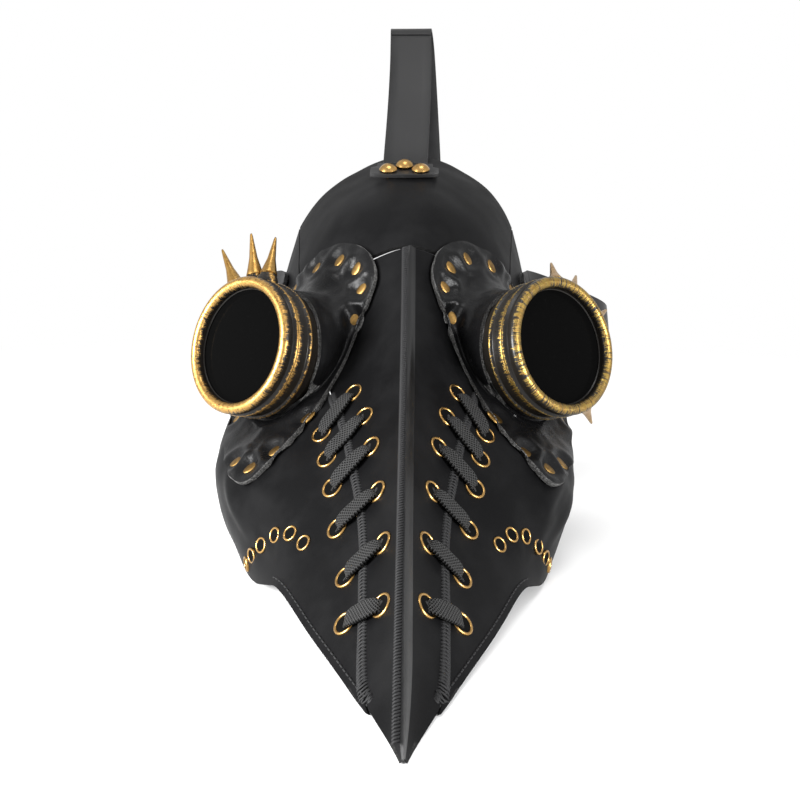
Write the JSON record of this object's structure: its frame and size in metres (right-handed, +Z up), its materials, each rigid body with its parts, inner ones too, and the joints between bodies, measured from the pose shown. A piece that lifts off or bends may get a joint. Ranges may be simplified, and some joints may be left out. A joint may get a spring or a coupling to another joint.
{
  "type": "plague doctor mask",
  "caption": "Black leather bird-beak mask with laced cheeks, ringed goggles, spikes, a crown strap and a buckled back strap.",
  "frame": {"origin": "bottom centre of the whole object, on the surface it stands on", "axes": "+Z up, -Y where the beak points, +X the wearer's left"},
  "size_m": [0.2566, 0.4226, 0.2805],
  "materials": {
    "face_leather": "satin, fine grain",
    "hem_leather": "satin",
    "welt_leather": "satin, stitched",
    "flange_leather": "glossy, moulded",
    "barrel_plastic": "black with dry-brushed gold",
    "antique_gold": "antique gold paint, worn",
    "spike_gold": "polished",
    "gasket_rubber": "matt",
    "smoked_lens": "gloss black",
    "woven_lace": "flat woven",
    "strap_leather": "satin, smooth",
    "rivet_brass": "aged",
    "eyelet_brass": "bright",
    "buckle_brass": "aged"
  },
  "bodies": {
    "hood": {"cheek_panel_l": "face_leather", "beak_panel_l": "face_leather", "beak_hem_l": "hem_leather", "jaw_tab_l": "face_leather", "lace_l": "woven_lace", "vent_eyelet_l_1": "eyelet_brass", "vent_eyelet_l_2": "eyelet_brass", "vent_eyelet_l_3": "eyelet_brass", "vent_eyelet_l_4": "eyelet_brass", "vent_eyelet_l_5": "eyelet_brass", "vent_eyelet_l_6": "eyelet_brass", "goggle_barrel_l": "barrel_plastic", "spike_l_1": "spike_gold", "spike_l_2": "spike_gold", "spike_l_3": "spike_gold", "spike_l_4": "spike_gold", "eye_flange_l": "flange_leather", "cheek_panel_r": "face_leather", "beak_panel_r": "face_leather", "beak_hem_r": "hem_leather", "jaw_tab_r": "face_leather", "lace_r": "woven_lace", "vent_eyelet_r_1": "eyelet_brass", "vent_eyelet_r_2": "eyelet_brass", "vent_eyelet_r_3": "eyelet_brass", "vent_eyelet_r_4": "eyelet_brass", "vent_eyelet_r_5": "eyelet_brass", "vent_eyelet_r_6": "eyelet_brass", "goggle_barrel_r": "barrel_plastic", "spike_r_1": "spike_gold", "spike_r_2": "spike_gold", "spike_r_3": "spike_gold", "eye_flange_r": "flange_leather", "forehead_panel": "face_leather", "ridge_welt": "welt_leather", "crown_strap_tab": "strap_leather", "crown_rivet_1": "rivet_brass", "crown_rivet_2": "rivet_brass", "crown_rivet_3": "rivet_brass", "temple_rivet_l": "rivet_brass", "temple_rivet_r": "rivet_brass"},
    "lens_carrier_l": {"lens_l": "smoked_lens", "lens_gasket_l": "gasket_rubber"},
    "lens_carrier_r": {"lens_r": "smoked_lens", "lens_gasket_r": "gasket_rubber"},
    "bezel_l": {"bezel_ring_l": "antique_gold"},
    "bezel_r": {"bezel_ring_r": "antique_gold"},
    "back_strap": {"back_strap_long": "strap_leather", "back_strap_short": "strap_leather", "buckle_frame": "buckle_brass"},
    "prong": {"buckle_prong": "buckle_brass"},
    "keeper": {"strap_keeper": "strap_leather"},
    "crown_front": {"crown_strap_front": "strap_leather"},
    "crown_rear": {"crown_strap_rear": "strap_leather", "loop_rivet": "rivet_brass"}
  },
  "joints": [
    {"name": "bezel_turn_l", "type": "hinge", "parent": "lens_carrier_l", "child": "bezel_l", "pos_m": [0.07357, -0.02098, 0.103], "axis": [0.6064, -0.7475, 0.2712], "range_deg": [0, 720]},
    {"name": "bezel_travel_l", "type": "slide", "parent": "hood", "child": "lens_carrier_l", "axis": [0.6064, -0.7475, 0.2712], "range_m": [0, 0.004]},
    {"name": "bezel_turn_r", "type": "hinge", "parent": "lens_carrier_r", "child": "bezel_r", "pos_m": [-0.08043, -0.02098, 0.103], "axis": [-0.6064, -0.7475, 0.2712], "range_deg": [0, 720]},
    {"name": "bezel_travel_r", "type": "slide", "parent": "hood", "child": "lens_carrier_r", "axis": [-0.6064, -0.7475, 0.2712], "range_m": [0, 0.004]},
    {"name": "back_strap_swing", "type": "hinge", "parent": "hood", "child": "back_strap", "pos_m": [0.00029, 0.07242, 0.1207], "axis": [1, 0, 0], "range_deg": [-5, 5], "stiffness_Nm_per_rad": 4},
    {"name": "crown_front_flex", "type": "hinge", "parent": "hood", "child": "crown_front", "pos_m": [-0.00231, 0.08142, 0.1934], "axis": [1, 0, 0], "range_deg": [-7, 7], "stiffness_Nm_per_rad": 1},
    {"name": "crown_rear_flex", "type": "hinge", "parent": "crown_front", "child": "crown_rear", "pos_m": [0.00029, 0.14732, 0.2744], "axis": [1, 0, 0], "range_deg": [-3.2, 3.2], "stiffness_Nm_per_rad": 1},
    {"name": "prong_swing", "type": "hinge", "parent": "back_strap", "child": "prong", "pos_m": [-0.04171, 0.20202, 0.09], "axis": [0, 0, 1], "range_deg": [0, 40]},
    {"name": "keeper_slide", "type": "slide", "parent": "back_strap", "child": "keeper", "axis": [1, 0, 0], "range_m": [-0.004, 0.004]}
  ],
  "couplings": [
    {"joint": "bezel_travel_l", "follows": "bezel_turn_l", "m_per_rad": 0.00031831},
    {"joint": "bezel_travel_r", "follows": "bezel_turn_r", "m_per_rad": 0.00031831},
    {"joint": "crown_front_flex", "follows": "back_strap_swing", "ratio": 1.342},
    {"joint": "crown_rear_flex", "follows": "back_strap_swing", "ratio": -0.592}
  ]
}
